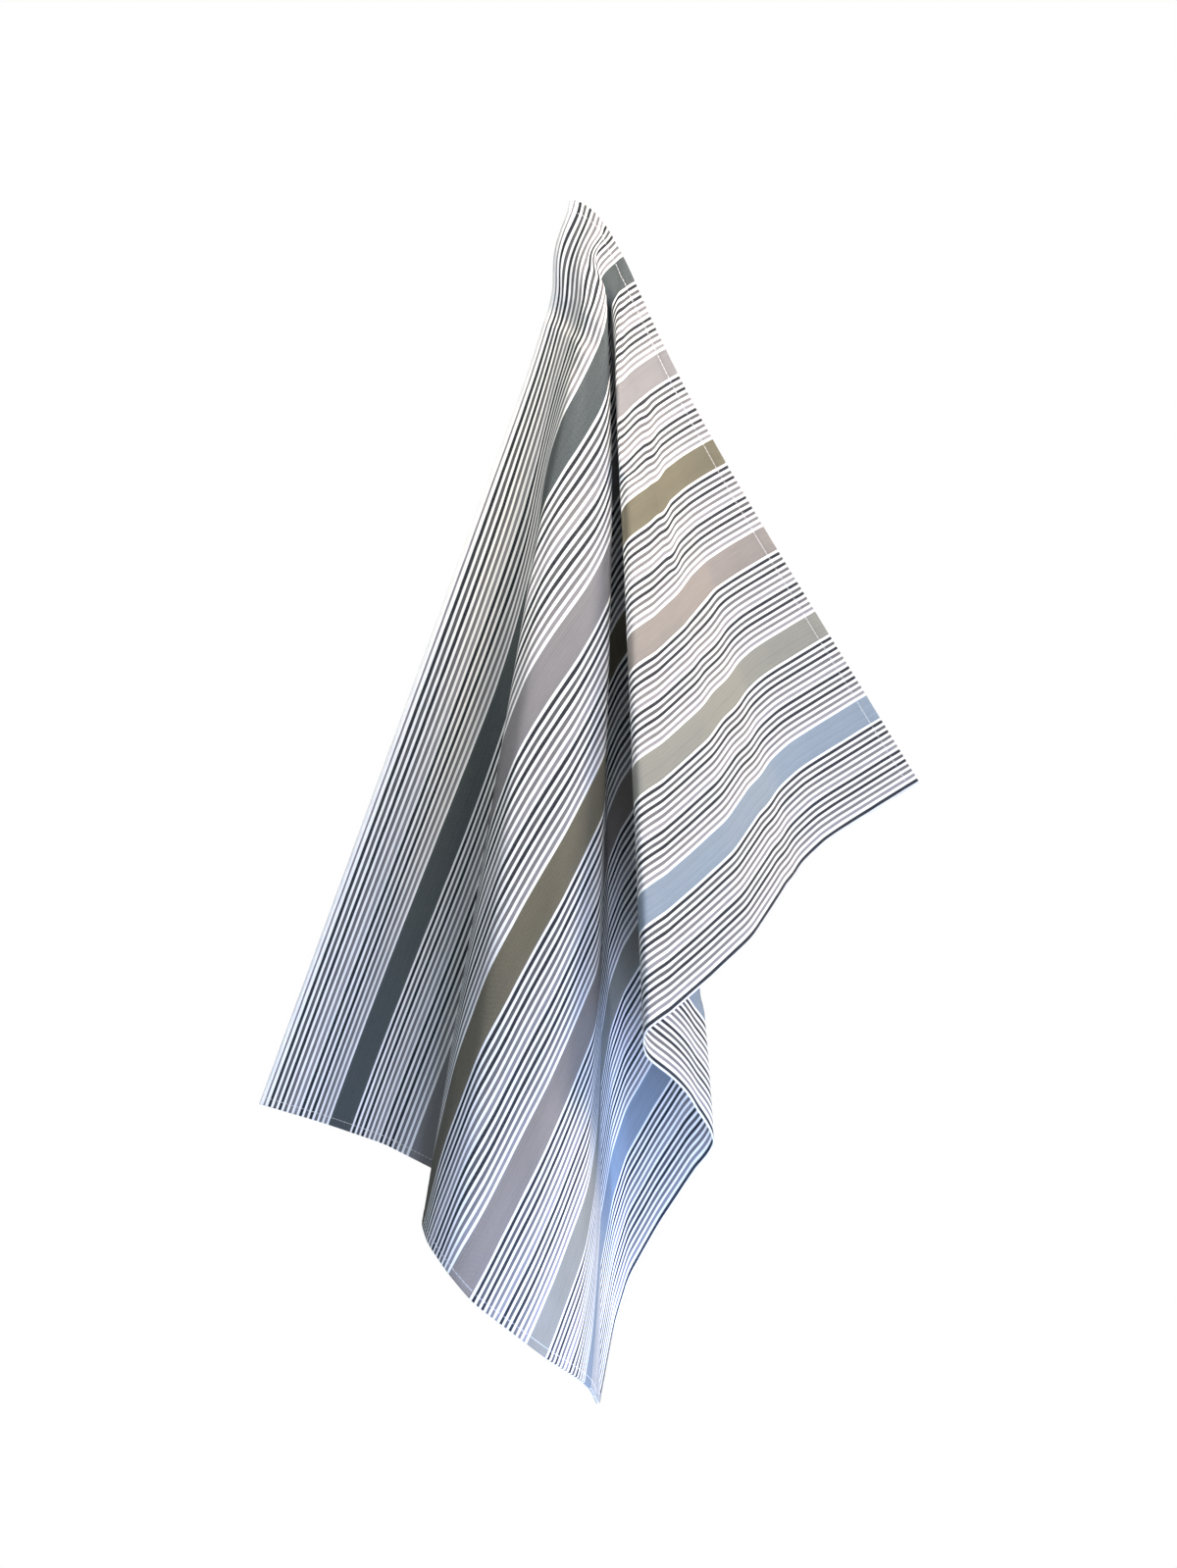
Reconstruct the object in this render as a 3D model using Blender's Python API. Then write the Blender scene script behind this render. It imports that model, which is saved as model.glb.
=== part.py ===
"""A woven tea towel that hangs by its top left corner, in metres, +Z up.

The towel is one hemmed sheet. A point of the cloth is named by u, its distance from the left selvedge, and v,
its distance below the top hem's edge. The corner u = 0, v = 0 is held at the origin, and the cloth falls from it
in straight folds that fan out: each fold line starts on the top hem beside the corner, runs down through the
narrow neck and ends on the far edge, so that the folds are deep and tight above and open out below.
"""

from collections import namedtuple

import bmesh
import bpy
import numpy as np

WIDTH = 0.500               # between the selvedges, along u
LENGTH = 0.700              # between the hem edges, along v
CLOTH = 0.0013              # thickness of the single cloth
HEMMED = 0.0021             # thickness where the cloth is turned in
TOP_HEM = 0.0095
BOTTOM_HEM = 0.007
HEM_STEP = 0.0006           # the slope from hem to single cloth

SHOULDER = 0.0767           # cloth distance from the hem at which a line bends into the neck
NECK = 0.1533               # cloth distance at which it leaves the neck
ROUNDING = 0.014            # half-width over which a fold is rounded, along the far edge
BIAS_GIVE = 0.06            # how much the cloth gives where it hangs at 45 degrees to its threads
HEM_FALL = 66.0             # slope in degrees that the gathered hem reaches beside the corner
HEM_BEND = 0.018            # length of hem over which it bends down

COLUMNS = 104               # strips between fold lines
ROWS = 16                   # cells along a fold line
ROW_GRADING = 1.5           # rows are closer together towards the corner

# Each fold line starts at hem_at on the top hem, bends at the shoulder side_x, side_y, passes the neck at neck_x,
# neck_y and ends on the far edge. A third of the way from neck to foot it is sway to the right of the straight line.
# edge_at runs along the bottom hem from the left corner (0) to the right corner (0.5), then up the right selvedge
# to the top hem (1.2).
FoldLine = namedtuple("FoldLine", "name hem_at side_x side_y neck_x neck_y edge_at foot_x foot_y foot_z sway")
FOLD_LINES = [FoldLine(*row) for row in (
    ("left selvedge",    0.000, -0.009,  0.018, -0.038,  0.050,  0.000, -0.230,  0.075, -0.656,  0.000),
    ("left panel",       0.001, -0.005,  0.011, -0.029,  0.047,  0.050, -0.186,  0.083, -0.670,  0.005),
    ("left panel",       0.003, -0.002,  0.008, -0.019,  0.041,  0.110, -0.138,  0.080, -0.686,  0.010),
    ("left valley",      0.005,  0.008,  0.008, -0.016,  0.026,  0.165, -0.089,  0.049, -0.707,  0.007),
    ("left roll",        0.008,  0.015,  0.003, -0.010,  0.010,  0.215, -0.107,  0.004, -0.734,  0.001),
    ("left roll",        0.010,  0.017,  0.000, -0.005, -0.002,  0.245, -0.101, -0.023, -0.746, -0.005),
    ("centre roll",      0.013,  0.017, -0.003,  0.006, -0.008,  0.280, -0.084, -0.044, -0.767, -0.009),
    ("centre roll",      0.015,  0.018, -0.004,  0.013, -0.008,  0.300, -0.068, -0.049, -0.785, -0.011),
    ("centre panel",     0.019,  0.022, -0.005,  0.027, -0.010,  0.350, -0.030, -0.053, -0.813, -0.006),
    ("centre panel",     0.021,  0.025, -0.004,  0.030, -0.010,  0.375, -0.014, -0.046, -0.826, -0.003),
    ("centre ridge",     0.024,  0.028, -0.002,  0.031, -0.008,  0.412,  0.007, -0.021, -0.843,  0.003),
    ("ridge's back",     0.027,  0.029,  0.001,  0.030,  0.002,  0.443,  0.015,  0.012, -0.856,  0.001),
    ("bottom corner",    0.030,  0.027,  0.005,  0.029,  0.014,  0.500,  0.021,  0.062, -0.877, -0.003),
    ("valley floor",     0.034,  0.028,  0.008,  0.029,  0.031,  0.560,  0.031,  0.088, -0.828, -0.003),
    ("valley floor",     0.038,  0.028,  0.008,  0.035,  0.031,  0.602,  0.043,  0.080, -0.787, -0.002),
    ("valley wall",      0.042,  0.025,  0.006,  0.042,  0.020,  0.652,  0.065,  0.055, -0.744,  0.000),
    ("inner fold",       0.048,  0.022,  0.001,  0.050,  0.005,  0.737,  0.104,  0.004, -0.677,  0.000),
    ("inner fold",       0.050,  0.022, -0.001,  0.049, -0.005,  0.750,  0.103, -0.010, -0.674,  0.000),
    ("right ridge",      0.058,  0.027, -0.007,  0.037, -0.021,  0.853,  0.052, -0.073, -0.608,  0.000),
    ("right ridge",      0.060,  0.029, -0.009,  0.036, -0.031,  0.866,  0.051, -0.088, -0.596,  0.000),
    ("right panel",      0.063,  0.034, -0.009,  0.041, -0.023,  0.900,  0.069, -0.066, -0.581,  0.000),
    ("right panel",      0.068,  0.038, -0.007,  0.050, -0.016,  0.945,  0.099, -0.043, -0.557,  0.000),
    ("right panel",      0.072,  0.045, -0.005,  0.061, -0.013,  0.993,  0.130, -0.019, -0.530,  0.000),
    ("right crease",     0.074,  0.054, -0.002,  0.069, -0.004,  1.045,  0.153,  0.018, -0.499,  0.000),
    ("right flap",       0.075,  0.062,  0.001,  0.081,  0.005,  1.094,  0.169,  0.056, -0.475,  0.000),
    ("right flap",       0.076,  0.067,  0.003,  0.092,  0.009,  1.130,  0.198,  0.067, -0.455,  0.000),
    ("top hem",          0.077,  0.076,  0.005,  0.115,  0.013,  1.200,  0.258,  0.076, -0.418,  0.000),
)]


def columns_of_table():
    """The table's rows as arrays by column name, with one more row past each end so that the edges stay put."""
    rows = [line[1:] for line in FOLD_LINES]
    first, second, before_last, last = (np.array(rows[i]) for i in (0, 1, -2, -1))
    values = np.vstack([2 * first - second, rows, 2 * last - before_last])
    values[0, 0] = first[0]
    return dict(zip(FoldLine._fields[1:], values.T))


TABLE = columns_of_table()


def rounded(edge_at, column):
    """The column's value at edge_at, averaged over ROUNDING each way with weights that fall off evenly."""
    offsets = np.linspace(-1, 1, 13)
    weights = 1 - 0.999 * np.abs(offsets)
    values = [np.interp(edge_at + ROUNDING * offset, TABLE["edge_at"], TABLE[column]) for offset in offsets]
    return np.tensordot(weights / weights.sum(), values, 1)


def far_edge(edge_at):
    """The cloth point (u, v) at edge_at: along the bottom hem, then up the right selvedge."""
    return np.minimum(edge_at, WIDTH), LENGTH - np.maximum(edge_at - WIDTH, 0)


def fold_line_through(u, v):
    """The edge_at of the fold line through the cloth point, found by halving the far edge forty times."""
    low, high = np.zeros_like(u), np.full_like(u, WIDTH + LENGTH)
    for _ in range(40):
        middle = (low + high) / 2
        hem_at = np.interp(middle, TABLE["edge_at"], TABLE["hem_at"])
        far_u, far_v = far_edge(middle)
        beyond = (u - hem_at) * far_v > v * (far_u - hem_at)
        low, high = np.where(beyond, middle, low), np.where(beyond, high, middle)
    return (low + high) / 2


def gathered_hem(hem_at):
    """The place of the gathered hem at hem_at: its slope grows from 0 to HEM_FALL as 1 - exp(-length / HEM_BEND)."""
    length = np.linspace(0, 0.08, 401)
    slope = np.radians(HEM_FALL * (1 - np.exp(-length / HEM_BEND)))
    step = length[1] - length[0]
    x = np.concatenate([[0], np.cumsum(np.cos((slope[1:] + slope[:-1]) / 2) * step)])
    z = np.concatenate([[0], np.cumsum(-np.sin((slope[1:] + slope[:-1]) / 2) * step)])
    return np.interp(hem_at, length, x), np.interp(hem_at, length, z)


def lower_end(length, x, y, x_from, y_from, z_from):
    """The height z that puts a point at x, y the given length away from another one above it."""
    return z_from - np.sqrt(np.maximum(length**2 - (x - x_from) ** 2 - (y - y_from) ** 2, 1e-6))


def hanging(u, v):
    """The place in the air of each cloth point, as an array of x, y, z.

    Below the neck a fold line runs straight from its neck to its foot, but for its sway times 6.75 p (1-p)^2, where
    p goes from 0 at the neck to 1 at the foot. Above the neck it is a cubic curve
    start (1-t)^3 + 3 shoulder t (1-t)^2 + 3 neck t^2 (1-t) + far t^3, where t is the cloth distance over
    SHOULDER + NECK, and far is the point of the straight part at that distance.
    """
    edge_at = fold_line_through(u, v)
    hem_at = np.interp(edge_at, TABLE["edge_at"], TABLE["hem_at"])
    far_u, far_v = far_edge(edge_at)
    whole = np.hypot(far_u - hem_at, far_v)
    down = np.hypot(u - hem_at, v)
    give = 1 + BIAS_GIVE * np.sin(2 * np.arctan2(far_u - hem_at, far_v)) ** 2

    hem_x, hem_z = gathered_hem(hem_at)
    side_x, side_y, neck_x, neck_y = (rounded(edge_at, name) for name in ("side_x", "side_y", "neck_x", "neck_y"))
    side_z = lower_end(SHOULDER * give, side_x, side_y, hem_x, 0, hem_z)
    neck_z = lower_end((NECK - SHOULDER) * give, neck_x, neck_y, side_x, side_y, side_z)

    start = np.stack([hem_x, np.zeros_like(hem_x), hem_z], -1)
    shoulder = np.stack([side_x, side_y, side_z], -1)
    neck = np.stack([neck_x, neck_y, neck_z], -1)
    foot = np.stack([rounded(edge_at, name) for name in ("foot_x", "foot_y", "foot_z")], -1)

    bent = SHOULDER + NECK
    part = np.clip((down - NECK) / (whole - NECK), 0, 1)
    straight = neck + (foot - neck) * part[..., None]
    straight[..., 0] += rounded(edge_at, "sway") * 6.75 * part * (1 - part) ** 2
    part = SHOULDER / (whole - NECK)
    far = neck + (foot - neck) * part[..., None]
    far[..., 0] += rounded(edge_at, "sway") * 6.75 * part * (1 - part) ** 2
    t = np.clip(down / bent, 0, 1)[..., None]
    curve = start * (1 - t) ** 3 + 3 * shoulder * t * (1 - t) ** 2 + 3 * neck * t**2 * (1 - t) + far * t**3
    return np.where((down < bent)[..., None], curve, straight)


def add_strip(mesh, rows):
    """Adds quads between neighbouring rows of mesh vertices, all facing the side that the towel shows."""
    for above, below in zip(rows, rows[1:]):
        for i in range(len(above) - 1):
            mesh.faces.new((above[i], below[i], below[i + 1], above[i + 1]))


def towel_sheet():
    """The middle surface of the cloth: strips between the fold lines, with the two hems as strips along them."""
    top, bottom = TOP_HEM + HEM_STEP, LENGTH - BOTTOM_HEM - HEM_STEP
    edge_at = np.linspace(0, WIDTH + LENGTH, COLUMNS + 1)
    edge_at[np.argmin(np.abs(edge_at - WIDTH))] = WIDTH
    hem_at = np.interp(edge_at, TABLE["edge_at"], TABLE["hem_at"])
    far_u, far_v = far_edge(edge_at)
    far_v = top + (bottom - top) * far_v / LENGTH
    part = (np.linspace(0, 1, ROWS + 1) ** ROW_GRADING)[:, None]
    u = hem_at + (far_u - hem_at) * part
    v = top + (far_v - top) * part

    mesh = bmesh.new()
    thickness = mesh.verts.layers.float.new("thickness")

    def row_of_vertices(u_row, v_row, thick):
        made = []
        for place in hanging(u_row, v_row):
            vertex = mesh.verts.new(place)
            vertex[thickness] = thick
            made.append(vertex)
        return made

    field = [row_of_vertices(u[r], v[r], CLOTH) for r in range(ROWS + 1)]
    add_strip(mesh, field)

    along_top = field[0] + [row[-1] for row in field[1:]]
    top_u = np.concatenate([u[0], u[1:, -1]])
    top_rows = [row_of_vertices(top_u, np.full_like(top_u, depth), HEMMED) for depth in (0, TOP_HEM)]
    add_strip(mesh, top_rows + [along_top])

    under = edge_at <= WIDTH
    along_bottom = [vertex for vertex, is_under in zip(field[-1], under) if is_under]
    bottom_rows = [row_of_vertices(u[-1][under], np.full(under.sum(), depth), HEMMED)
                   for depth in (LENGTH - BOTTOM_HEM, LENGTH)]
    add_strip(mesh, [along_bottom] + bottom_rows)
    return mesh, [vertex[thickness] for vertex in mesh.verts]


def cloth_material():
    """Plain cotton, the towel's pale ground colour."""
    material = bpy.data.materials.new("towel_cotton")
    material.use_nodes = True
    shader = material.node_tree.nodes["Principled BSDF"]
    shader.inputs["Base Color"].default_value = (0.72, 0.71, 0.68, 1)
    shader.inputs["Roughness"].default_value = 0.9
    shader.inputs["Metallic"].default_value = 0
    return material


def main():
    for obj in list(bpy.data.objects):
        bpy.data.objects.remove(obj, do_unlink=True)

    sheet, thickness = towel_sheet()
    mesh = bpy.data.meshes.new("towel")
    sheet.to_mesh(mesh)
    sheet.free()
    mesh.materials.append(cloth_material())
    mesh.shade_smooth()

    towel = bpy.data.objects.new("towel", mesh)
    bpy.context.scene.collection.objects.link(towel)
    hemmed = towel.vertex_groups.new(name="hemmed")
    for index, thick in enumerate(thickness):
        hemmed.add([index], thick / HEMMED, "REPLACE")

    solidify = towel.modifiers.new("thickness", "SOLIDIFY")
    solidify.thickness = HEMMED
    solidify.offset = 0
    solidify.vertex_group = "hemmed"


main()
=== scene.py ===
"""The woven tea towel in full detail, in metres, +Z up: one hemmed cloth that hangs by its top left corner.

A point of the cloth is named by u, its distance from the left selvedge, and v, its distance below the top
hem's edge. The corner u = 0, v = 0 is held at the origin, and the cloth falls from it in folds that fan out:
each fold line starts on the top hem beside the corner, runs down through the narrow neck and ends on the far
edge.
"""

from collections import namedtuple

import bpy
import numpy as np
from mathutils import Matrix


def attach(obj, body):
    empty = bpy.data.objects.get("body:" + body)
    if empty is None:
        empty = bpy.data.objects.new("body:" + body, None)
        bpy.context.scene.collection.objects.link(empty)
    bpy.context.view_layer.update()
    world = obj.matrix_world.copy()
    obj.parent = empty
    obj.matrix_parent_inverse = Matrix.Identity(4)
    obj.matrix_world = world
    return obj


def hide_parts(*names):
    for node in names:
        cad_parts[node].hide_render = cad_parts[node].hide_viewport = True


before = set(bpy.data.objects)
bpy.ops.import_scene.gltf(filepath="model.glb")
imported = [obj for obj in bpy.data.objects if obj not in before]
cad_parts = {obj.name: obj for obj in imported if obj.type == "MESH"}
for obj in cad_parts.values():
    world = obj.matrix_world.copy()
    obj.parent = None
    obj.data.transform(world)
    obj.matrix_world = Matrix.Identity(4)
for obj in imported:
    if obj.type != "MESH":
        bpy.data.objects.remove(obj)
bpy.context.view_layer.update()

WIDTH = 0.500               # between the selvedges, along u
LENGTH = 0.700              # between the hem edges, along v
CLOTH = 0.0008              # thickness of the single cloth
HEMMED = 0.0019             # thickness where the cloth is turned in
TOP_HEM = 0.0095            # depth of each hem, from its edge to where the turned-in cloth ends
BOTTOM_HEM = 0.0070
SEAM_INSET = 0.0012         # from where the turned-in cloth ends back to the seam
TOP_SEAM = TOP_HEM - SEAM_INSET
BOTTOM_SEAM = LENGTH - BOTTOM_HEM + SEAM_INSET
EDGE_ROUND = 0.0012         # a hem is a little thinner this close to its edge
PINCH = 0.0015              # the dent at a seam starts this far before it

THREAD = 0.00042            # thickness of the sewing thread
STITCH = 0.0032             # from one stitch to the next
STITCHES = 155              # in a seam, on each face
FIRST_STITCH = 0.0025       # middle of the top seam's first stitch, from the left selvedge
BOTTOM_SHIFT = 0.001        # the bottom seam's stitches are this much further right
STITCH_HALF = 0.44 * STITCH
STITCH_SIDES = 6

SHOULDER = 0.0767           # cloth distance from the hem at which a line bends into the neck
NECK = 0.1533               # cloth distance at which it leaves the neck
ROUNDING = 0.014            # half-width over which a fold is rounded, along the far edge
BIAS_GIVE = 0.06            # share by which a line above the neck is longer at 45 degrees to the threads
GATHERED = 0.08             # length of the hem that is gathered beside the corner
HEM_FALL = 66.0             # slope in degrees that the gathered hem nears
HEM_BEND = 0.018            # length of hem over which it bends down

# Each fold line starts at hem_at on the top hem, bends at the shoulder side_x, side_y, passes the neck at
# neck_x, neck_y and ends on the far edge. A third of the way from neck to foot it is sway to the right of the
# straight line. edge_at runs along the bottom hem from the left corner (0) to the right corner (0.5), then up
# the right selvedge to the top hem (1.2).
FoldLine = namedtuple("FoldLine", "name hem_at side_x side_y neck_x neck_y edge_at foot_x foot_y foot_z sway")
FOLD_LINES = [FoldLine(*row) for row in (
    ("left selvedge",    0.000, -0.009,  0.018, -0.038,  0.050,  0.000, -0.230,  0.075, -0.656,  0.000),
    ("left panel",       0.001, -0.005,  0.011, -0.029,  0.047,  0.050, -0.186,  0.083, -0.670,  0.005),
    ("left panel",       0.003, -0.002,  0.008, -0.019,  0.041,  0.110, -0.138,  0.080, -0.686,  0.010),
    ("left valley",      0.005,  0.008,  0.008, -0.016,  0.026,  0.165, -0.089,  0.049, -0.707,  0.007),
    ("left roll",        0.008,  0.015,  0.003, -0.010,  0.010,  0.215, -0.107,  0.004, -0.734,  0.001),
    ("left roll",        0.010,  0.017,  0.000, -0.005, -0.002,  0.245, -0.101, -0.023, -0.746, -0.005),
    ("centre roll",      0.013,  0.017, -0.003,  0.006, -0.008,  0.280, -0.084, -0.044, -0.767, -0.009),
    ("centre roll",      0.015,  0.018, -0.004,  0.013, -0.008,  0.300, -0.068, -0.049, -0.785, -0.011),
    ("centre panel",     0.019,  0.022, -0.005,  0.027, -0.010,  0.350, -0.030, -0.053, -0.813, -0.006),
    ("centre panel",     0.021,  0.025, -0.004,  0.030, -0.010,  0.375, -0.014, -0.046, -0.826, -0.003),
    ("centre ridge",     0.024,  0.028, -0.002,  0.031, -0.008,  0.412,  0.007, -0.021, -0.843,  0.003),
    ("ridge's back",     0.027,  0.029,  0.001,  0.030,  0.002,  0.443,  0.015,  0.012, -0.856,  0.001),
    ("bottom corner",    0.030,  0.027,  0.005,  0.029,  0.014,  0.500,  0.021,  0.062, -0.877, -0.003),
    ("valley floor",     0.034,  0.028,  0.008,  0.029,  0.031,  0.560,  0.031,  0.088, -0.828, -0.003),
    ("valley floor",     0.038,  0.028,  0.008,  0.035,  0.031,  0.602,  0.043,  0.080, -0.787, -0.002),
    ("valley wall",      0.042,  0.025,  0.006,  0.042,  0.020,  0.652,  0.065,  0.055, -0.744,  0.000),
    ("inner fold",       0.048,  0.022,  0.001,  0.050,  0.005,  0.737,  0.104,  0.004, -0.677,  0.000),
    ("inner fold",       0.050,  0.022, -0.001,  0.049, -0.005,  0.750,  0.103, -0.010, -0.674,  0.000),
    ("right ridge",      0.058,  0.027, -0.007,  0.037, -0.021,  0.853,  0.052, -0.073, -0.608,  0.000),
    ("right ridge",      0.060,  0.029, -0.009,  0.036, -0.031,  0.866,  0.051, -0.088, -0.596,  0.000),
    ("right panel",      0.063,  0.034, -0.009,  0.041, -0.023,  0.900,  0.069, -0.066, -0.581,  0.000),
    ("right panel",      0.068,  0.038, -0.007,  0.050, -0.016,  0.945,  0.099, -0.043, -0.557,  0.000),
    ("right panel",      0.072,  0.045, -0.005,  0.061, -0.013,  0.993,  0.130, -0.019, -0.530,  0.000),
    ("right crease",     0.074,  0.054, -0.002,  0.069, -0.004,  1.045,  0.153,  0.018, -0.499,  0.000),
    ("right flap",       0.075,  0.062,  0.001,  0.081,  0.005,  1.094,  0.169,  0.056, -0.475,  0.000),
    ("right flap",       0.076,  0.067,  0.003,  0.092,  0.009,  1.130,  0.198,  0.067, -0.455,  0.000),
    ("top hem",          0.077,  0.076,  0.005,  0.115,  0.013,  1.200,  0.258,  0.076, -0.418,  0.000),
)]

# A crease is a soft push of the cloth along a line on it from (u_from, v_from) to (u_to, v_to): full by
# push_x, push_y, push_z on the line, and none at its reach.
Crease = namedtuple("Crease", "name u_from v_from u_to v_to reach push_x push_y push_z")
CREASES = [Crease(*row) for row in (
    ("shoulder's left edge",    0.000, 0.036, 0.018, 0.040, 0.034, -0.005,  0.000,  0.000),
    ("shoulder's pinch",        0.004, 0.080, 0.049, 0.084, 0.014,  0.000,  0.004, -0.002),
    ("bulge over the pocket",   0.044, 0.022, 0.060, 0.028, 0.020, -0.006, -0.004,  0.000),
    ("roll's left side",        0.046, 0.130, 0.140, 0.450, 0.022,  0.000, -0.006,  0.000),
    ("right ridge's back",      0.190, 0.098, 0.500, 0.334, 0.016,  0.000,  0.010,  0.000),
    ("right ridge's front",     0.198, 0.087, 0.508, 0.323, 0.017, -0.003, -0.004,  0.000),
    ("right panel's bend",      0.320, 0.080, 0.500, 0.114, 0.034,  0.000,  0.000, -0.004),
    ("right panel's pucker",    0.162, 0.038, 0.260, 0.085, 0.011,  0.000, -0.002, -0.002),
    ("turned edge's bulge",     0.400, 0.330, 0.500, 0.402, 0.046,  0.003,  0.000,  0.006),
    ("inner fold's upper side", 0.440, 0.390, 0.500, 0.438, 0.015,  0.002,  0.000,  0.000),
    ("inner fold's lower side", 0.440, 0.422, 0.500, 0.476, 0.015,  0.002,  0.000,  0.000),
)]

# The stripes, in millimetres from the left selvedge: a band BAND wide every REPEAT from FIRST_BAND on, and
# between two bands LINES fine lines LINE_STEP apart, the first one LINE_START beyond the band. The selvedges
# are white outside PATTERN, but for one line each, given by its middle and half-width.
FIRST_BAND, REPEAT, BAND = 58.0, 73.0, 20.0
LINES, LINE_START, LINE_STEP, LINE_WIDTH = 12, 3.0, 4.27, 2.35
PATTERN = (5.9, 495.5)
LEFT_LINE = (3.7, 0.7)
RIGHT_LINE = (497.5, 1.2)
BLUR = 0.15                 # half-width of a stripe's soft edge
WARP_YARN, WEFT_YARN = 0.5, 0.55        # widths of the yarns, in millimetres

WHITE = "f1efe9"
LINE_COLOURS = ("14141c", "504e4e", "17161c", "615d5e", "6f6b6b", "858182")
BAND_COLOURS = ("444a4a", "7d7978", "635c49", "817972", "7e7c72", "7d8892")

SURROUNDINGS = (0.135, 0.17, 0.205, 1)  # dim bluish light from all sides
BACKDROP = (1, 1, 1, 1)     # the colour that the camera sees behind the towel
FLOOR_RADIUS, FLOOR_Z = 1.1, -1.3
CAMERA = (0.0134, -2.5, -0.4194)
SENSOR, LENS = 36, 79.93    # width of the picture's sensor and focal length, in millimetres

# The studio's square lights: each stands at place, faces target and has its beam's full angle in degrees.
Light = namedtuple("Light", "name place target size power colour spread")
LIGHTS = [Light(*row) for row in (
    ("main_light",  (1.85, -1.15, 0.8),   (0, 0, -0.10),     1.2,  13.4, (1.0, 0.91, 0.80),  64),
    ("top_light",   (0.35, -0.7, 0.35),   (0, 0, -0.12),     0.25, 1.2,  (1.0, 0.92, 0.84),  60),
    ("back_light",  (-0.8, 2.2, 0.5),     (0, 0, -0.42),     1.5,  16,   (1.0, 0.98, 0.96),  180),
    ("left_light",  (-0.7, -0.6, 0.2),    (-0.01, 0, -0.17), 0.3,  0.25, (1.0, 0.97, 0.92),  35),
    ("side_light",  (-1.4, -0.45, -0.6),  (-0.1, 0, -0.6),   0.6,  1.2,  (0.92, 0.96, 1.0),  180),
    ("low_light",   (0, -1.1, -1.35),     (0, 0, -0.75),     0.6,  6,    (0.82, 0.87, 1.0),  180),
    ("right_light", (0.6, -0.9, -1.3),    (0.12, 0, -0.65),  0.6,  20,   (0.27, 0.47, 1.0),  180),
    ("cool_light",  (0.10, -0.75, -1.15), (0.07, 0, -0.85),  0.3,  0.8,  (0.50, 0.62, 1.0),  30),
)]


def columns_of_table():
    """The fold lines as arrays by column name, with a row past each end, so that rounding keeps the edges."""
    rows = np.array([line[1:] for line in FOLD_LINES])
    table = np.vstack([2 * rows[0] - rows[1], rows, 2 * rows[-1] - rows[-2]])
    columns = dict(zip(FoldLine._fields[1:], table.T))
    columns["hem_at"][0] = FOLD_LINES[0].hem_at
    return columns


TABLE = columns_of_table()


def rounded(edge_at, column):
    """The column's value at edge_at, averaged over ROUNDING each way with weights that fall off evenly."""
    offsets = np.linspace(-1, 1, 13)
    weights = 1 - 0.999 * np.abs(offsets)
    values = [np.interp(edge_at + ROUNDING * offset, TABLE["edge_at"], TABLE[column]) for offset in offsets]
    return np.tensordot(weights / weights.sum(), values, 1)


def far_edge(edge_at):
    """The cloth point (u, v) at edge_at: along the bottom hem, then up the right selvedge."""
    return np.minimum(edge_at, WIDTH), LENGTH - np.maximum(edge_at - WIDTH, 0)


def fold_line_through(u, v):
    """The edge_at of the fold line through the cloth point, found by halving the far edge forty times."""
    low, high = np.zeros_like(u), np.full_like(u, WIDTH + LENGTH)
    for _ in range(40):
        middle = (low + high) / 2
        hem_at = np.interp(middle, TABLE["edge_at"], TABLE["hem_at"])
        far_u, far_v = far_edge(middle)
        beyond = (u - hem_at) * far_v > v * (far_u - hem_at)
        low, high = np.where(beyond, middle, low), np.where(beyond, high, middle)
    return (low + high) / 2


def gathered_hem(hem_at):
    """The x and z of the gathered hem at hem_at, added up over short steps.

    Its slope in degrees is HEM_FALL (1 - exp(-length / HEM_BEND)).
    """
    length, step = np.linspace(0, GATHERED, 401, retstep=True)
    slope = np.radians(HEM_FALL * (1 - np.exp(-length / HEM_BEND)))
    slope = (slope[1:] + slope[:-1]) / 2
    x = np.concatenate([[0], np.cumsum(np.cos(slope) * step)])
    z = np.concatenate([[0], np.cumsum(-np.sin(slope) * step)])
    return np.interp(hem_at, length, x), np.interp(hem_at, length, z)


def lower_end(length, x, y, x_from, y_from, z_from):
    """The height z that puts a point at x, y the given length away from another one above it."""
    return z_from - np.sqrt(np.maximum(length**2 - (x - x_from) ** 2 - (y - y_from) ** 2, 1e-6))


def below_neck(neck, foot, sway, part):
    """The point at this part, from 0 to 1, of the way from neck to foot.

    It is off the straight line to the right by sway times 6.75 p (1-p)^2, which is sway at p = 1/3.
    """
    place = neck + (foot - neck) * part[..., None]
    place[..., 0] += sway * 6.75 * part * (1 - part) ** 2
    return place


def crease_pushes(u, v):
    """The sum of the creases' pushes.

    Each falls off as (1 - d^2)^2, where d is the distance from the crease's line over its reach.
    """
    total = np.zeros(u.shape + (3,))
    for crease in CREASES:
        along_u, along_v = crease.u_to - crease.u_from, crease.v_to - crease.v_from
        part = ((u - crease.u_from) * along_u + (v - crease.v_from) * along_v) / (along_u**2 + along_v**2)
        part = np.clip(part, 0, 1)
        away_u, away_v = u - crease.u_from - part * along_u, v - crease.v_from - part * along_v
        away = np.hypot(away_u, away_v) / crease.reach
        push = np.array([crease.push_x, crease.push_y, crease.push_z])
        total += push * (np.maximum(1 - away**2, 0) ** 2)[..., None]
    return total


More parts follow.
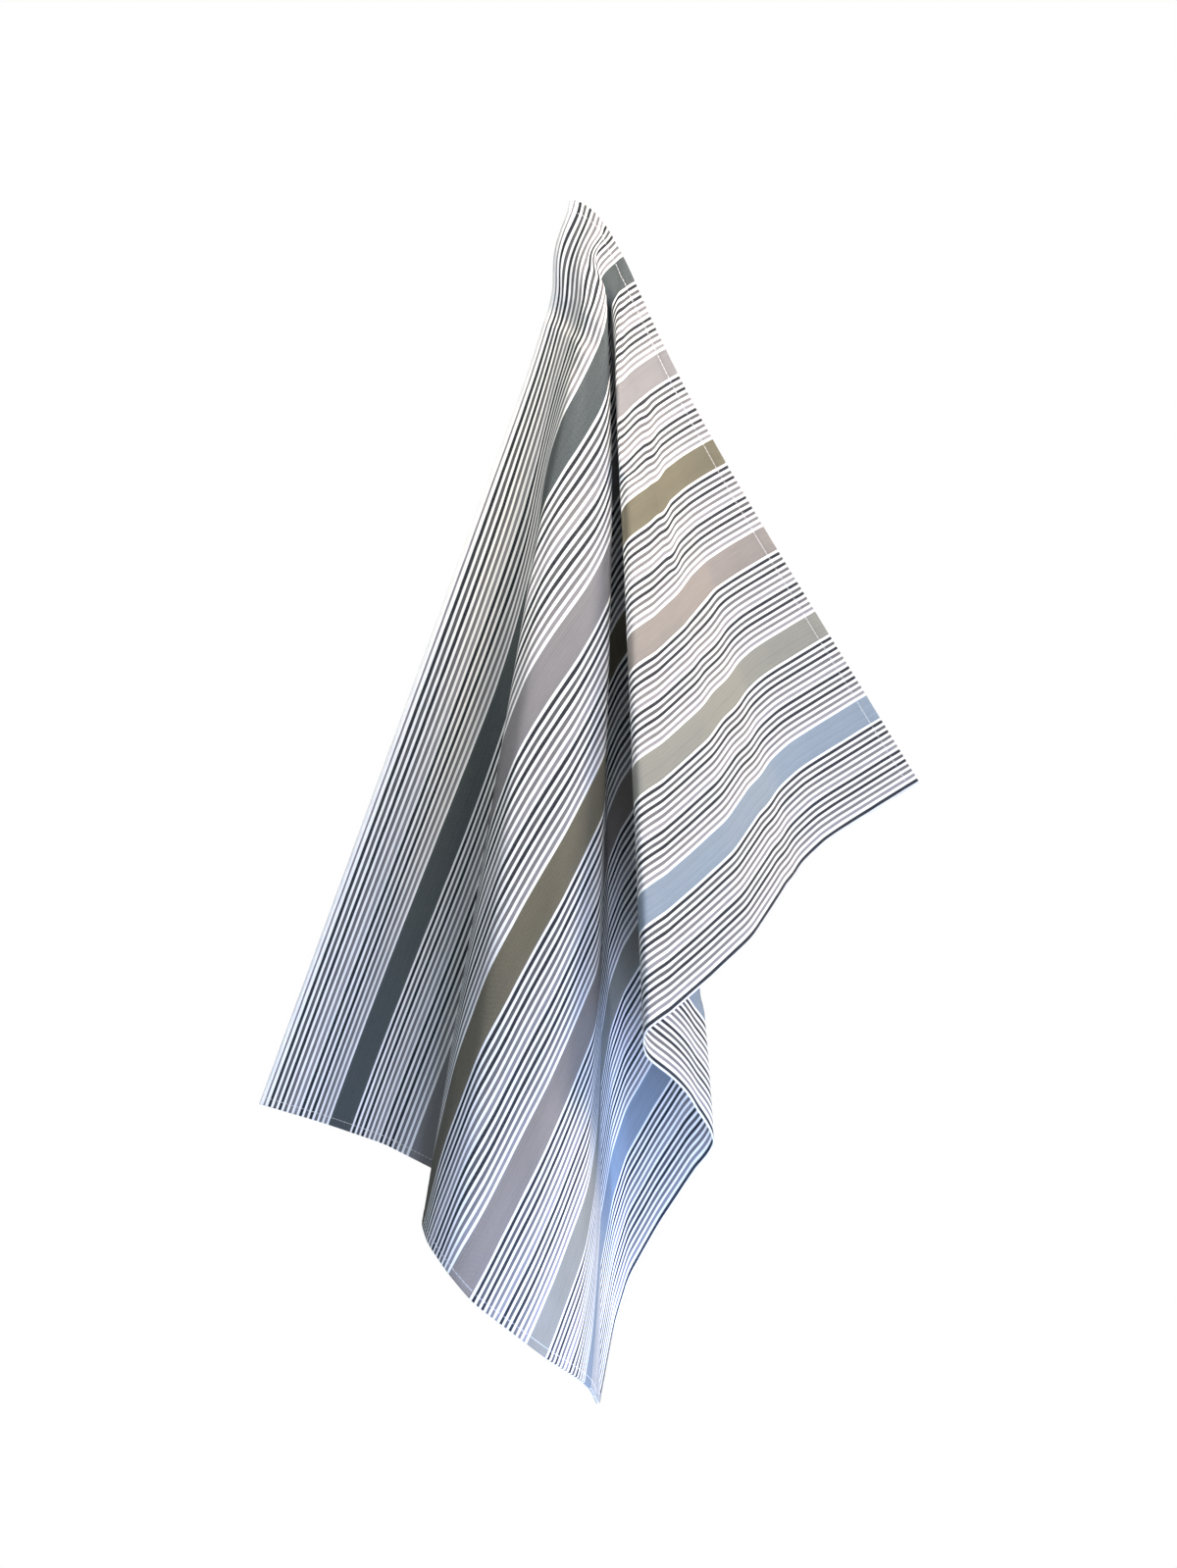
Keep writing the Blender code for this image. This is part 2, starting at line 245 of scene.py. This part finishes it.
def hanging(u, v):
    """The place in the air of each cloth point, as an array of x, y, z.

    Below the neck a fold line runs as below_neck says. Above its lower part it is the cubic curve
    start (1-t)^3 + 3 shoulder t (1-t)^2 + 3 neck t^2 (1-t) + far t^3, where t is the cloth distance from the
    hem over SHOULDER + NECK, and far is the point SHOULDER below the neck. The creases are added to it.
    """
    edge_at = fold_line_through(u, v)
    hem_at = np.interp(edge_at, TABLE["edge_at"], TABLE["hem_at"])
    far_u, far_v = far_edge(edge_at)
    whole = np.hypot(far_u - hem_at, far_v)
    down = np.hypot(u - hem_at, v)
    give = 1 + BIAS_GIVE * np.sin(2 * np.arctan2(far_u - hem_at, far_v)) ** 2

    hem_x, hem_z = gathered_hem(hem_at)
    side_x, side_y = rounded(edge_at, "side_x"), rounded(edge_at, "side_y")
    neck_x, neck_y = rounded(edge_at, "neck_x"), rounded(edge_at, "neck_y")
    side_z = lower_end(SHOULDER * give, side_x, side_y, hem_x, 0, hem_z)
    neck_z = lower_end((NECK - SHOULDER) * give, neck_x, neck_y, side_x, side_y, side_z)

    start = np.stack([hem_x, np.zeros_like(hem_x), hem_z], -1)
    shoulder = np.stack([side_x, side_y, side_z], -1)
    neck = np.stack([neck_x, neck_y, neck_z], -1)
    foot = np.stack([rounded(edge_at, name) for name in ("foot_x", "foot_y", "foot_z")], -1)
    sway = rounded(edge_at, "sway")

    straight = below_neck(neck, foot, sway, np.clip((down - NECK) / (whole - NECK), 0, 1))
    far = below_neck(neck, foot, sway, SHOULDER / (whole - NECK))
    curved = SHOULDER + NECK
    t = np.clip(down / curved, 0, 1)[..., None]
    curve = start * (1 - t) ** 3 + 3 * shoulder * t * (1 - t) ** 2 + 3 * neck * t**2 * (1 - t) + far * t**3
    return np.where((down < curved)[..., None], curve, straight) + crease_pushes(u, v)


def front_normal(u, v):
    """The unit normal on the side that the towel shows, from steps of half a millimetre down and right."""
    step = 0.0005
    right = hanging(np.minimum(u + step, WIDTH), v) - hanging(np.maximum(u - step, 0), v)
    down = hanging(u, np.minimum(v + step, LENGTH)) - hanging(u, np.maximum(v - step, 0))
    normal = np.cross(down, right)
    return normal / np.linalg.norm(normal, axis=-1, keepdims=True)


def thickness_at(v):
    """The cloth's thickness at v: straight lines between the steps of both hems.

    From its edge inward a hem is thin, then thick, dented at its seam, and falls to the single cloth.
    """
    def steps(depth):
        seam = depth - SEAM_INSET
        return np.array([0, EDGE_ROUND, seam - PINCH, seam, depth - 0.0004, depth + 0.0006])

    thick = np.array([HEMMED - 0.0003, HEMMED, HEMMED, CLOTH, HEMMED - 0.0004, CLOTH])
    places = np.concatenate([steps(TOP_HEM), LENGTH - steps(BOTTOM_HEM)[::-1]])
    return np.interp(v, places, np.concatenate([thick, thick[::-1]]))


def middle_surface(u, v):
    """The middle of the cloth's thickness, its unit normal to the front, and the thickness.

    The hems are turned to the back, so the middle lies back by a quarter of what they add.
    """
    normal = front_normal(u, v)
    thick = thickness_at(v)[..., None]
    return hanging(u, v) - normal * (thick - CLOTH) / 4, normal, thick


def in_scene(name, data):
    """A new object that holds the mesh, light or camera, linked to the scene."""
    made = bpy.data.objects.new(name, data)
    bpy.context.scene.collection.objects.link(made)
    return made


def mesh_object(name, vertices, faces, material):
    """A smooth-shaded mesh object at the origin, made from an array of points and a list of faces."""
    mesh = bpy.data.meshes.new(name)
    mesh.from_pydata(vertices.reshape(-1, 3).tolist(), [], faces)
    mesh.materials.append(material)
    mesh.shade_smooth()
    return in_scene(name, mesh)


def hem_rows(depth, inner):
    """The cloth mesh's rows in a hem, as distances from its edge: inner ones are where it lies flat."""
    seam = depth - SEAM_INSET
    return np.array([0, 0.0005, EDGE_ROUND, *inner, seam - PINCH, seam - 0.0006, seam, seam + 0.0006,
                     depth - 0.0002, depth + 0.0006])


def grid_lines():
    """The u of the cloth mesh's columns and the v of its rows: finer by the held corner and in the hems."""
    columns = np.concatenate([np.linspace(0, 0.1, 61), np.linspace(0.1, WIDTH, 115)[1:]])
    top = hem_rows(TOP_HEM, (0.003, 0.005))
    bottom = LENGTH - hem_rows(BOTTOM_HEM, (0.0028,))[::-1]
    rows = np.concatenate([top, np.linspace(top[-1], 0.15, 81)[1:], np.linspace(0.15, bottom[0], 150)[1:-1],
                           bottom])
    return columns, rows


def make_cloth(material):
    """The whole cloth as one grid over u and v, with its thickness given by a Solidify modifier.

    Its UV map is the flat cloth seen from the front, u to the right and up from the bottom hem, over LENGTH.
    """
    columns, rows = grid_lines()
    v, u = np.meshgrid(rows, columns, indexing="ij")
    vertices, _, thick = middle_surface(u, v)

    index = np.arange(u.size).reshape(u.shape)
    faces = np.stack([index[:-1, :-1], index[1:, :-1], index[1:, 1:], index[:-1, 1:]], -1).reshape(-1, 4)
    cloth = mesh_object("towel_cloth", vertices, faces.tolist(), material)
    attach(cloth, "root")

    corners = np.stack([u, LENGTH - v], -1).reshape(-1, 2)[faces.ravel()] / LENGTH
    cloth.data.uv_layers.new(name="cloth_place").data.foreach_set("uv", corners.ravel())

    group = cloth.vertex_groups.new(name="hemmed")
    for row, weight in zip(index, thick[:, 0, 0] / HEMMED):
        group.add(row.tolist(), float(weight), "REPLACE")
    solidify = cloth.modifiers.new("thickness", "SOLIDIFY")
    solidify.thickness = HEMMED
    solidify.offset = 0
    solidify.vertex_group = "hemmed"
    return cloth


def seam_stitches(seam, first, side):
    """The stitches of the seam at v = seam, on the front (side 1) or the back (side -1), as rings of points.

    Along a stitch s goes from -0.9 to 0.9, with s = 1 at STITCH_HALF from its middle. There the thread's
    middle is THREAD (0.35 - 0.55 s^2) off the cloth and its radius is THREAD / 2 sqrt(1 - 0.85 s^4), so that
    both ends dip into the cloth.
    """
    s = np.array([-0.9, -0.45, 0, 0.45, 0.9])
    u = first + STITCH * np.arange(STITCHES)[:, None] + s * STITCH_HALF
    middle, normal, thick = middle_surface(u, np.full_like(u, seam))
    centre = middle + side * normal * (thick / 2 + THREAD * (0.35 - 0.55 * s**2)[:, None])
    along = np.gradient(centre, axis=1)
    across = np.cross(normal, along / np.linalg.norm(along, axis=-1, keepdims=True))
    radius = (THREAD / 2 * np.sqrt(1 - 0.85 * s**4))[:, None, None]
    turn = np.linspace(0, 2 * np.pi, STITCH_SIDES, endpoint=False)[:, None]
    ring = np.cos(turn) * normal[:, :, None] + np.sin(turn) * across[:, :, None]
    return centre[:, :, None] + radius * ring


def make_stitches(material):
    """Both seams' stitches on both faces of the cloth, as one mesh of short closed threads."""
    stitches = []
    for seam, first in ((TOP_SEAM, FIRST_STITCH), (BOTTOM_SEAM, FIRST_STITCH + BOTTOM_SHIFT)):
        stitches.append(seam_stitches(seam, first, 1))
        stitches.append(seam_stitches(seam, first + STITCH / 2, -1))
    stitches = np.concatenate(stitches)
    count, rings = stitches.shape[:2]
    ring = np.arange(rings * STITCH_SIDES).reshape(rings, STITCH_SIDES)
    around = np.roll(ring, -1, axis=1)
    sides = np.stack([ring[:-1], ring[1:], around[1:], around[:-1]], -1).reshape(-1, 4)
    ends = np.stack([ring[0], ring[-1][::-1]])
    starts = np.arange(count)[:, None, None] * ring.size
    faces = (starts + sides).reshape(-1, 4).tolist() + (starts + ends).reshape(-1, STITCH_SIDES).tolist()
    made = mesh_object("hem_stitches", stitches, faces, material)
    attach(made, "root")
    return made


def colour_of(text):
    """A colour written as six hex digits of sRGB, as linear red, green and blue with full alpha."""
    part = np.array([int(text[i:i + 2], 16) / 255 for i in (0, 2, 4)])
    linear = np.where(part < 0.04045, part / 12.92, ((part + 0.055) / 1.055) ** 2.4)
    return (*linear.tolist(), 1)


class Nodes:
    """A short way to write a material's nodes: each call adds a node and returns its output."""

    def __init__(self, name):
        self.material = bpy.data.materials.new(name)
        self.material.use_nodes = True
        self.tree = self.material.node_tree
        self.shader = self.tree.nodes["Principled BSDF"]

    def put(self, value, socket):
        if isinstance(value, bpy.types.NodeSocket):
            self.tree.links.new(value, socket)
        else:
            socket.default_value = value

    def give(self, **inputs):
        """Sets or links the shader's inputs, named with _ for a space."""
        for name, value in inputs.items():
            self.put(value, self.shader.inputs[name.replace("_", " ")])

    def math(self, operation, *values):
        node = self.tree.nodes.new("ShaderNodeMath")
        node.operation = operation
        for value, socket in zip(values, node.inputs):
            self.put(value, socket)
        return node.outputs[0]

    def plus(self, first, second):
        return self.math("ADD", first, second)

    def minus(self, first, second):
        return self.math("SUBTRACT", first, second)

    def times(self, first, second):
        return self.math("MULTIPLY", first, second)

    def near(self, value, middle, reach):
        """1 where the value is within reach of the middle, and 0 elsewhere."""
        return self.math("LESS_THAN", self.math("ABSOLUTE", self.minus(value, middle)), reach)

    def between(self, value, low, high):
        """1 where the value is between low and high, and 0 elsewhere."""
        return self.times(self.math("GREATER_THAN", value, low), self.math("LESS_THAN", value, high))

    def smooth(self, value, low, high):
        """0 below low, 1 above high and a smooth step between them."""
        node = self.tree.nodes.new("ShaderNodeMapRange")
        node.interpolation_type = "SMOOTHSTEP"
        self.put(value, node.inputs["Value"])
        self.put(low, node.inputs["From Min"])
        self.put(high, node.inputs["From Max"])
        return node.outputs["Result"]

    def below(self, value, limit):
        """1 below the limit and 0 above it, with an edge that is BLUR soft each way."""
        return self.minus(1.0, self.smooth(value, limit - BLUR, limit + BLUR))

    def mix(self, part, first, second, blend="MIX"):
        node = self.tree.nodes.new("ShaderNodeMix")
        node.data_type, node.blend_type = "RGBA", blend
        self.put(part, node.inputs["Factor"])
        self.put(first, node.inputs[6])
        self.put(second, node.inputs[7])
        return node.outputs[2]

    def one_of(self, number, colours):
        """The colour with this number, from 0 on."""
        node = self.tree.nodes.new("ShaderNodeValToRGB")
        node.color_ramp.interpolation = "CONSTANT"
        stops = node.color_ramp.elements
        while len(stops) < len(colours):
            stops.new(0.5)
        for i, colour in enumerate(colours):
            stops[i].position = i / len(colours)
            stops[i].color = colour_of(colour)
        self.put(self.math("DIVIDE", self.plus(number, 0.5), len(colours)), node.inputs["Fac"])
        return node.outputs["Color"]

    def vector(self, x, y, z=0.0):
        node = self.tree.nodes.new("ShaderNodeCombineXYZ")
        for value, socket in zip((x, y, z), node.inputs):
            self.put(value, socket)
        return node.outputs[0]

    def object_place(self):
        return self.tree.nodes.new("ShaderNodeTexCoord").outputs["Object"]

    def cloth_place(self):
        """The flat cloth's place in millimetres: from the left selvedge, and up from the bottom hem."""
        place = self.tree.nodes.new("ShaderNodeUVMap")
        place.uv_map = "cloth_place"
        split = self.tree.nodes.new("ShaderNodeSeparateXYZ")
        self.put(place.outputs[0], split.inputs[0])
        return [self.times(split.outputs[axis], LENGTH * 1000) for axis in (0, 1)]

    def noise(self, vector, scale, detail=2.0, rough=0.5):
        node = self.tree.nodes.new("ShaderNodeTexNoise")
        self.put(vector, node.inputs["Vector"])
        self.put(scale, node.inputs["Scale"])
        self.put(detail, node.inputs["Detail"])
        self.put(rough, node.inputs["Roughness"])
        return node.outputs["Fac"]

    def cloth_noise(self, u, v, across, along, detail, rough=0.5):
        """Noise on the cloth, with its spots 1 / across wide and 1 / along long."""
        return self.noise(self.vector(self.times(u, across), self.times(v, along)), 1.0, detail, rough)

    def chance(self, vector):
        node = self.tree.nodes.new("ShaderNodeTexWhiteNoise")
        node.noise_dimensions = "2D"
        self.put(vector, node.inputs["Vector"])
        return node.outputs["Value"]

    def bump(self, height, distance, strength, before=None):
        node = self.tree.nodes.new("ShaderNodeBump")
        self.put(height, node.inputs["Height"])
        self.put(distance, node.inputs["Distance"])
        self.put(strength, node.inputs["Strength"])
        if before is not None:
            self.put(before, node.inputs["Normal"])
        return node.outputs["Normal"]


def striped_warp(n, u, v):
    """The warp's colour: white with the bands, the fine lines and the selvedges' own lines."""
    # the yarns wander a little, so that the stripes' edges aren't ruled
    wander = n.cloth_noise(u, v, 0.9, 0.05, 2.0)
    across = n.plus(u, n.times(n.minus(wander, 0.5), 0.5))
    patterned = n.between(across, *PATTERN)

    from_first = n.minus(across, FIRST_BAND)
    repeat = n.math("FLOOR", n.math("DIVIDE", from_first, REPEAT))
    within = n.minus(from_first, n.times(repeat, REPEAT))
    in_band = n.times(n.below(within, BAND), n.smooth(within, 0.0, 0.2))

    steps = n.math("DIVIDE", n.minus(within, BAND + LINE_START), LINE_STEP)
    number = n.math("ROUND", steps)
    away = n.times(n.math("ABSOLUTE", n.minus(steps, number)), LINE_STEP)
    on_line = n.times(n.below(away, LINE_WIDTH / 2), n.between(number, -0.5, LINES - 0.5))
    line_colour = n.one_of(n.math("FLOORED_MODULO", number, len(LINE_COLOURS)), LINE_COLOURS)

    warp = n.mix(n.times(on_line, patterned), colour_of(WHITE), line_colour)
    warp = n.mix(n.times(in_band, patterned), warp, n.one_of(repeat, BAND_COLOURS))
    warp = n.mix(n.near(across, *LEFT_LINE), warp, colour_of(LINE_COLOURS[-1]))
    return n.mix(n.near(across, *RIGHT_LINE), warp, colour_of(LINE_COLOURS[0]))


def cotton_material():
    """Yarn-dyed cotton: the striped warp with the white weft between its yarns, laid on the flat cloth."""
    n = Nodes("striped_cotton")
    u, v = n.cloth_place()
    warp = striped_warp(n, u, v)

    # each warp yarn has its own depth of colour, and runs lighter and darker along its length
    own = n.chance(n.vector(n.math("FLOOR", n.math("DIVIDE", u, WARP_YARN)), 0.0))
    streak = n.cloth_noise(u, v, 1.6, 0.09, 3.0)
    shade = n.plus(n.plus(0.80, n.times(own, 0.14)), n.times(streak, 0.26))
    warp = n.mix(1.0, warp, n.vector(shade, shade, shade), "MULTIPLY")

    # the weft shows as small pale dots between the warp yarns
    bulge_u = n.math("SINE", n.times(u, np.pi / WARP_YARN))
    bulge_v = n.math("SINE", n.times(v, np.pi / WEFT_YARN))
    over = n.times(bulge_u, bulge_v)
    dots = n.times(n.smooth(over, 0.45, 0.9), 0.25)
    n.give(Base_Color=n.mix(dots, warp, colour_of(WHITE)))

    # the cloth is softly uneven, finely crumpled, and woven
    normal = n.bump(n.cloth_noise(u, v, 0.05, 0.016, 3.0, 0.55), 0.0012, 0.35)
    normal = n.bump(n.cloth_noise(u, v, 0.12, 0.07, 3.0, 0.6), 0.0006, 0.25, normal)
    normal = n.bump(over, 0.00012, 0.5, normal)
    n.give(Normal=normal, Roughness=n.plus(0.82, n.times(streak, 0.14)), Specular_IOR_Level=0.15,
           Sheen_Weight=0.08, Sheen_Roughness=0.5)
    return n.material


def thread_material():
    """Pale twisted sewing thread."""
    n = Nodes("sewing_thread")
    place = n.object_place()
    n.give(Base_Color=n.mix(n.noise(place, 900.0), colour_of("cfc9c6"), colour_of("efece8")),
           Normal=n.bump(n.noise(place, 2500.0), 0.0001, 0.5), Roughness=0.7, Sheen_Weight=0.2)
    return n.material


def floor_material():
    """Matt off-white paper with a painted cool glow, which sends some cool light up."""
    n = Nodes("pale_floor")
    # the emission is a painted glow: it lights the towel from below like a cool fill lamp
    n.give(Base_Color=n.mix(n.noise(n.object_place(), 3.0), (0.86, 0.86, 0.85, 1), (0.90, 0.90, 0.89, 1)),
           Roughness=0.8, Emission_Color=(0.6, 0.8, 1.0, 1), Emission_Strength=0.35)
    return n.material


def make_world():
    """Surroundings that light the towel with one colour and are seen by the camera in another."""
    world = bpy.data.worlds.new("studio")
    bpy.context.scene.world = world
    world.use_nodes = True
    tree = world.node_tree
    seen = tree.nodes.new("ShaderNodeLightPath").outputs["Is Camera Ray"]
    shade = tree.nodes.new("ShaderNodeMix")
    shade.data_type = "RGBA"
    tree.links.new(seen, shade.inputs[0])
    shade.inputs[6].default_value = SURROUNDINGS
    shade.inputs[7].default_value = BACKDROP
    tree.links.new(shade.outputs[2], tree.nodes["Background"].inputs["Color"])


def make_floor():
    """A round floor well below the towel."""
    turn = np.linspace(0, 2 * np.pi, 96, endpoint=False)
    x, y = FLOOR_RADIUS * np.cos(turn), FLOOR_RADIUS * np.sin(turn)
    rim = np.stack([x, y, np.full_like(turn, FLOOR_Z)], -1)
    floor = mesh_object("floor", rim, [list(range(len(turn)))], floor_material())


def make_lights():
    """A warm main light from the upper right, small ones on the held corner, a soft one from the left, cool
    low ones from the front and the right, and a soft one behind."""
    for light in LIGHTS:
        lamp = bpy.data.lights.new(light.name, "AREA")
        lamp.size, lamp.energy, lamp.color = light.size, light.power, light.colour
        lamp.spread = np.radians(light.spread)
        made = in_scene(light.name, lamp)
        made.location = light.place
        x, y, z = np.array(light.target) - np.array(light.place)
        made.rotation_euler = (np.arctan2(np.hypot(x, y), -z), 0, np.arctan2(-x, y))


def make_camera():
    """Level, 2.5 m in front of the towel, as the photograph shows it."""
    camera = bpy.data.cameras.new("camera")
    camera.sensor_width, camera.lens = SENSOR, LENS
    made = in_scene("camera", camera)
    made.location = CAMERA
    made.rotation_euler = (np.pi / 2, 0, 0)
    bpy.context.scene.camera = made


cloth = make_cloth(cotton_material())
stitches = make_stitches(thread_material())
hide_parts("towel")
make_world()
make_floor()
make_lights()
make_camera()
bpy.context.scene.view_settings.view_transform = "Standard"
